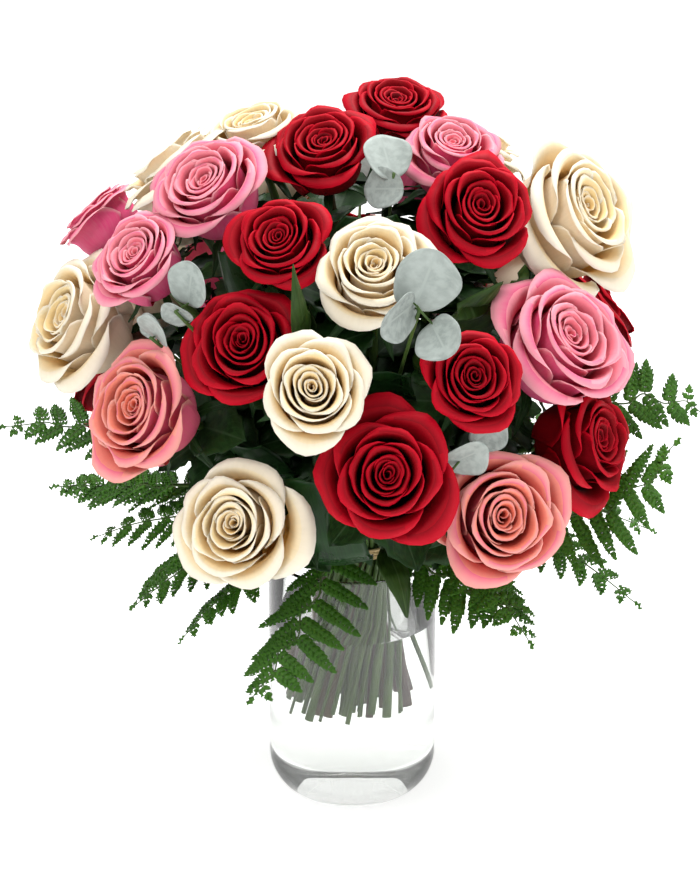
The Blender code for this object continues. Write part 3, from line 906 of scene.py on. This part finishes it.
# The azimuth, the three angles down from straight up, and how far out the tip is in millimetres.
SKIRT = [
    (-62, 82, 92, 103, 134), (-86, 80, 86, 94, 150), (-45, 86, 97, 108, 124), (50, 84, 92, 100, 146),
    (76, 80, 88, 97, 172), (104, 80, 86, 93, 176), (160, 84, 91, 98, 168), (-174, 80, 88, 96, 172),
    (-128, 84, 91, 99, 168), (-104, 78, 84, 92, 178),
]
SKIRT_BASE, SKIRT_HALF, HELD_RADIUS = 66 * MM, 14 * MM, 19 * MM
for order, (azimuth, first, second, third, reach) in enumerate(SKIRT):
    base = dome_centre + direction(azimuth, first) * SKIRT_BASE
    elbow = dome_centre + direction(azimuth - 3, second) * (reach * 0.68 * MM)
    tip = dome_centre + direction(azimuth - 8, third) * (reach * MM)
    line = smoothed([base, base.lerp(elbow, 0.5) + UP * 3 * MM, elbow, elbow.lerp(tip, 0.5) + UP * 2 * MM, tip],
                    LINE_POINTS)
    level = (tip - base).cross(UP).normalized()
    ways = [(level + UP * 0.35 * math.sin(order * 2.4)).normalized()] * LINE_POINTS
    held = Vector((0, 0, tie_height)) + direction(azimuth, 90) * HELD_RADIUS
    stalk = (smoothed([held, held.lerp(base, 0.5) + UP * 2 * MM, base, line[3]], 12), [FERN_STALK] * 12)
    made = frond(f"skirt_frond_{order + 1}", stalk, line, ways, SKIRT_HALF, 50 + order)
    settle_in(made, "fern_green")
print(len(SKIRT), "skirt fronds")

# %% [markdown]
# Aspidistra is a tough strap leaf with close lengthwise veins, which a florist bends over between
# the blooms to make dark glossy patches. Each strap is a long grid laid along its solid, a little
# hollow across and rippled at its edges. Broad leaves are made the same way, with pointed ends.

# %% Strap leaves and broad leaves
ROWS, COLUMNS = 41, 13
STRAP_THICKNESS = 0.45 * MM


def grow_strap(name, wider, gutter, material, slot, tip):
    """gutter is how hollow it is across; tip narrows its ends to points."""
    obj = nodes[name]
    line, ways, halves, start = blade_line(obj, ROWS)
    widest = halves.max()
    strap, across, along = grid_piece(name + "_strap", COLUMNS, ROWS)
    points = np.empty((COLUMNS * ROWS, 3))
    for k in range(ROWS):
        s = k / (ROWS - 1)
        forward = (line[min(k + 1, ROWS - 1)] - line[max(k - 1, 0)]).normalized()
        upper = forward.cross(ways[k]).normalized()
        if upper.dot(line[k] - dome_centre) < 0:
            upper = -upper
        half = max(halves[k] * wider, widest * wider * (1 - tip * abs(2 * s - 1) ** 2.5))
        half *= math.sqrt(max(0.0, 1 - (s - 0.5) ** 2 * 4 * tip)) * 0.999 + 0.001
        for i in np.flatnonzero(np.abs(along - s) < 0.5 / (ROWS - 1)):
            a = across[i]
            ripple = 0.05 * math.sin(s * 9 + 3 * a) * abs(a)
            depth = half * (gutter * (0.5 - a * a) + ripple)
            points[i] = line[k] + ways[k] * half * a + upper * depth
    shape(strap, points, STRAP_THICKNESS)
    strap.data.materials.append(material)
    stalk = rods(name + "_stalk", [blade_stem(obj, start, line[4], 1.3 * MM)], stem_green)
    settle_in(joined(name + "_strap", strap, stalk), slot, name)


WIDER = {"aspidistra_11": 1.5, "aspidistra_12": 1.5, "aspidistra_13": 1.4, "aspidistra_14": 1.8, "leaf_15": 1.6}
for name in sorted(nodes):
    if name.startswith("aspidistra"):
        grow_strap(name, WIDER.get(name, 1.2), 0.25, dark_green, "dark_leaf", 0.30)
    if name.startswith("leaf"):
        grow_strap(name, WIDER.get(name, 1.15), 0.30, olive_green, "stem_and_leaf_green", 0.97)
print("straps and broad leaves laid")

# %% [markdown]
# Eucalyptus carries pairs of round, waxy, silver-grey leaves on a thin twig. One leaf is modelled
# from a grid: its square outline is eased into a round one, and it is cupped and rippled. The flat
# disc of each solid gives a leaf's middle, its size and the way it faces.

# %% Eucalyptus
round_leaf, across, along = grid_piece("round_leaf", 13, 13)
up_leaf = along * 2 - 1
x = across * np.sqrt(np.maximum(0, 1 - up_leaf**2 / 2))
y = up_leaf * np.sqrt(np.maximum(0, 1 - across**2 / 2))
out = np.hypot(x, y)
angle = np.arctan2(y, x)
wavy = 1 + 0.03 * np.sin(3 * angle + 1) + 0.02 * np.sin(5 * angle)
cup = 0.24 * x**2 - 0.05 * y + 0.05 * out**3 * np.sin(2 * angle + 0.6) + 0.03 * out**4 * np.sin(5 * angle)
shape(round_leaf, np.column_stack([x * wavy, y * wavy * 0.97, cup]), 0.035)
round_leaf = mesh_only(round_leaf)

LEAST_FACE, LEAST_DISC = 0.3 * MM * MM, 90 * MM * MM


def discs_of(obj):
    """Each round leaf of the solid: its middle, the way it faces and its radius."""
    points, faces = mesh_arrays(obj)
    normal, area = face_arrays(points, faces)
    offset = (normal * points[faces[:, 0]]).sum(1)
    high = (reach_of(points)[faces].min(1) > 100 * MM) & (points[faces][:, :, 2].min(1) > tie_high.z + 20 * MM)
    left, found = high & (area > LEAST_FACE), []
    while left.any():
        first = max(np.flatnonzero(left), key=lambda i: area[i])
        same = left & (normal @ normal[first] > 0.999) & (np.abs(offset - offset[first]) < 0.15 * MM)
        left &= ~same
        if area[same].sum() < LEAST_DISC:
            continue
        rim = points[np.unique(faces[same])]
        from_middle = np.linalg.norm(rim - (rim.max(0) + rim.min(0)) / 2, axis=1)
        rim = rim[from_middle > 0.6 * from_middle.max()]
        middle = Vector(rim.mean(0))
        radius = np.linalg.norm(rim - rim.mean(0), axis=1).mean()
        if any((middle - other[0]).length < 3 * MM for other in found):
            continue
        facing = Vector(normal[first])
        found.append((middle, -facing if facing.dot(middle - dome_centre) < 0 else facing, radius))
    return found


def grow_twig(name, seed):
    chance = np.random.default_rng(3000 + seed)
    obj = nodes[name]
    discs = discs_of(obj)
    nearest = min((middle - dome_centre).length - radius for middle, _, radius in discs) / MM
    upper = [one[0] for one in spine(obj, nearest - 6, 12)]
    line = smoothed([*lower_stem(obj), *upper], 28)
    onward = (line[-1] - line[-3]).normalized()
    far = max((middle - line[-1]).dot(onward) for middle, _, _ in discs)
    line += [line[-1] + onward * far * f for f in (0.3, 0.6, 0.9)]
    lines = [(line, np.linspace(1.5, 0.9, len(line)) * MM)]
    leaves = []
    for middle, facing, radius in discs:
        joint = min(line[-8:], key=lambda p: (p - middle).length)
        along = middle - joint
        along = (along - facing * along.dot(facing)).normalized()
        root = middle - along * radius * 0.95
        lines.append(([joint, joint.lerp(root, 0.6) + facing * MM, root, root + along * radius * 0.5],
                      [0.7 * MM, 0.6 * MM, 0.55 * MM, 0.2 * MM]))
        leaves.append(pose(middle, along, facing + along * chance.uniform(-0.15, 0.15), radius * 1.08))
    twig = rods(name + "_twig", lines, stem_green)
    grey = planted(name + "_leaves", round_leaf, leaves, silver_green)
    settle_in(joined(name + "_twig", twig, grey), "eucalyptus_grey", name)
    return len(discs)


twigs = [name for name in sorted(nodes) if name.startswith("eucalyptus")]
print({name: grow_twig(name, order) for order, name in enumerate(twigs)}, "round leaves")

# %% [markdown]
# The vase is blown glass: a straight wall, a softly rounded foot with a thick floor, and a
# fire-polished rim. It is a cylinder whose top is inset by the wall and pushed down to the floor,
# with its edges beveled. A faceted wall would bend light in stripes, so it has 128 sides.

# %% Vase
SIDES = 128
NEAR = 0.3 * MM
FOOT_CORNER, INNER_CORNER, RIM_CORNER = 25 * MM, 20 * MM, 1.1 * MM


def select_ring(obj, height, radius):
    """Selects the circle of edges at this height and radius, in edit mode."""
    editing = bmesh.from_edit_mesh(obj.data)
    for edge in editing.edges:
        edge.select_set(all(abs(v.co.z - height) < NEAR and abs(math.hypot(v.co.x, v.co.y) - radius) < NEAR
                            for v in edge.verts))
    bmesh.update_edit_mesh(obj.data)


def select_top(obj, height):
    editing = bmesh.from_edit_mesh(obj.data)
    for face in editing.faces:
        face.select_set(len(face.verts) > 8 and abs(face.calc_center_median().z - height) < NEAR)
    bmesh.update_edit_mesh(obj.data)


def cylinder(name, radius, low, high):
    """A cylinder in edit mode, with its top selected."""
    select_only()
    bpy.ops.mesh.primitive_cylinder_add(vertices=SIDES, radius=radius, depth=high - low,
                                        location=(0, 0, (low + high) / 2))
    made = bpy.context.object
    made.name = name
    bpy.ops.object.transform_apply(location=True, rotation=True, scale=True)
    bpy.ops.object.mode_set(mode="EDIT")
    bpy.ops.mesh.select_mode(type="FACE")
    bpy.ops.mesh.select_all(action="DESELECT")
    select_top(made, high)
    return made


def bevel_ring(obj, height, radius, size, steps):
    bpy.ops.mesh.select_mode(type="EDGE")
    bpy.ops.mesh.select_all(action="DESELECT")
    select_ring(obj, height, radius)
    bpy.ops.mesh.bevel(offset=size, segments=steps, affect="EDGES")


def finish_turned(obj, sharp):
    bpy.ops.object.mode_set(mode="OBJECT")
    obj.data.shade_smooth()
    bpy.ops.object.shade_smooth_by_angle(angle=math.radians(sharp))


vase_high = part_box("vase")[1]
vase_radius, vase_top = vase_high.x, vase_high.z
vase_points = mesh_arrays(nodes["vase"])[0]
inner_radius = float(off_axis(vase_points[vase_points[:, 2] > vase_top - 2 * MM]).min())
floor_height = float(vase_points[off_axis(vase_points) < vase_radius * 0.56][:, 2].max())
vase = cylinder("vase_glass", vase_radius, 0, vase_top)
bpy.ops.mesh.inset(thickness=vase_radius - inner_radius)
bpy.ops.mesh.extrude_region_move(TRANSFORM_OT_translate={"value": (0, 0, floor_height - vase_top)})
bevel_ring(vase, floor_height, inner_radius, INNER_CORNER, 14)
bevel_ring(vase, 0, vase_radius, FOOT_CORNER, 16)
bevel_ring(vase, vase_top, vase_radius, RIM_CORNER, 4)
bevel_ring(vase, vase_top, inner_radius, RIM_CORNER, 4)
finish_turned(vase, 40)
print("vase radius, inner radius, floor:", [round(m, 4) for m in (vase_radius, inner_radius, floor_height)])

# %% Water
OVERLAP = 0.12 * MM
MENISCUS_WIDTH, MENISCUS_HEIGHT = 2.4 * MM, 1.1 * MM
water = cylinder("water_body", inner_radius + OVERLAP, floor_height - OVERLAP, water_level)
bpy.ops.mesh.inset(thickness=MENISCUS_WIDTH)
bevel_ring(water, floor_height - OVERLAP, inner_radius + OVERLAP, INNER_CORNER, 14)
editing = bmesh.from_edit_mesh(water.data)
for vertex in editing.verts:
    if vertex.co.z > water_level - MM and math.hypot(vertex.co.x, vertex.co.y) > inner_radius - MM:
        vertex.co.z += MENISCUS_HEIGHT
bmesh.update_edit_mesh(water.data)
finish_turned(water, 35)
print("water", tuple(round(d, 4) for d in water.dimensions))

# %% [markdown]
# Glass and water are clear shaders. A lamp's light would be stopped by them, so for rays that look
# for a lamp, and for light that matt things scatter, each is plain see-through with a faint tint,
# and the stems inside are lit. A faint bump gives the slow ripple of water and the waviness of glass.

# %% Glass and water
def clear_material(name, tint, bend, ripple_scale):
    made, tree, shader, where = begin(name, Roughness=0.0, IOR=bend, Transmission_Weight=1.0)
    drift = noise(tree, where, ripple_scale)
    paler = tuple(c * 1.01 for c in tint)
    tree.links.new(ramp(tree, drift, [(0.3, tint), (0.7, paler)]), shader.inputs["Base Color"])
    bump(tree, shader, drift, 0.2, 0.3 * MM)
    path = tree.nodes.new("ShaderNodeLightPath").outputs
    lamps = maths(tree, "MAXIMUM", path["Is Shadow Ray"], path["Is Diffuse Ray"])
    mix_in(tree, shader, add(tree, "ShaderNodeBsdfTransparent", Color=(0.97, 0.97, 0.97, 1)), lamps)
    return made


vase.data.materials.append(clear_material("blown_glass", (0.97, 0.985, 0.98), 1.45, 30.0))
water.data.materials.append(clear_material("clear_water", (0.985, 0.98, 0.965), 1.33, 60.0))
settle_in(vase, "clear_glass", "vase")
settle_in(water, "water", "water")
print("glass and water finished")

# %% [markdown]
# Raffia holds the bundle: a flat strand wound round it several times. Each turn is a ring with its
# own small tilt; the rings overlap into one band.

# %% Raffia tie
raffia, tree, shader, where = begin("raffia", Roughness=0.8)
strands = noise(tree, where, 1.0, 3.0, (60, 60, 1400))
tree.links.new(ramp(tree, strands, [(0.3, (0.30, 0.20, 0.08)), (0.7, (0.62, 0.47, 0.24))]),
               shader.inputs["Base Color"])
bump(tree, shader, strands, 0.6, 0.2 * MM)
TURNS, STEPS = 7, 48
band_radius = tie_high.x - 0.9 * MM
turns = []
for k in range(TURNS):
    height = tie_low.z + (tie_high.z - tie_low.z) * (k + 0.5) / TURNS
    ring = []
    for j in range(STEPS + 1):
        a = j * math.tau / STEPS
        wobble = 0.35 * MM * math.sin(3 * a + k * 2.1)
        out = band_radius + wobble * 0.5
        up = height + wobble + 0.4 * MM * math.sin(a + k)
        ring.append(Vector((out * math.cos(a), out * math.sin(a), up)))
    turns.append((ring, [0.75 * MM] * (STEPS + 1)))
settle_in(rods("raffia_tie", turns, raffia), "raffia", "tie")
print("tie of", TURNS, "turns")
